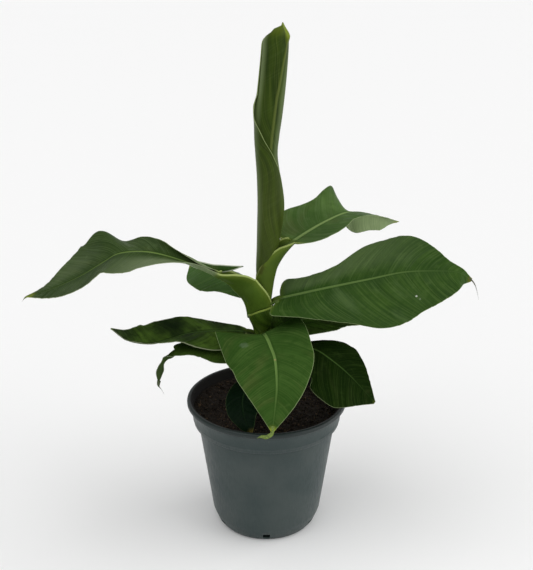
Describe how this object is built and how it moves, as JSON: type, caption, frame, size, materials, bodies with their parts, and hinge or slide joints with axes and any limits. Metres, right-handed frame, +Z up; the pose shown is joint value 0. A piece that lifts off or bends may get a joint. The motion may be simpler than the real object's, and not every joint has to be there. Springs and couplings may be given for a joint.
{
  "type": "potted banana plant",
  "caption": "Young banana plant in a round plastic nursery pot: upright stem of wrapped leaf bases, a rolled new leaf at the top and broad arching leaves on all sides.",
  "frame": {"origin": "middle of the pot's flat underside, on the ground", "axes": "+Z up along the pot's axis; the plant's front is -Y and its two widest leaves reach along -X and +X"},
  "size_m": [0.311, 0.1639, 0.3789],
  "materials": {
    "pot_plastic": "dark slate grey moulded plastic, satin, lightly scuffed",
    "peat": "moist dark brown fibrous peat, matt",
    "sheath": "olive to yellow-green leaf bases, smooth and satin",
    "leaf": "mid to dark green blade with fine parallel veins and a pale midrib, softly glossy"
  },
  "bodies": {
    "root": {"pot": "pot_plastic", "soil": "peat", "stem": "sheath", "spear": "sheath", "leaf_upper_right": "leaf", "stalk_upper_left": "leaf", "leaf_upper_left": "leaf", "leaf_right": "leaf", "leaf_front": "leaf", "leaf_left": "leaf", "leaf_low_left": "leaf", "leaf_low_right": "leaf", "leaf_back_right": "leaf", "leaf_back": "leaf", "leaf_soil": "leaf"}
  },
  "joints": []
}
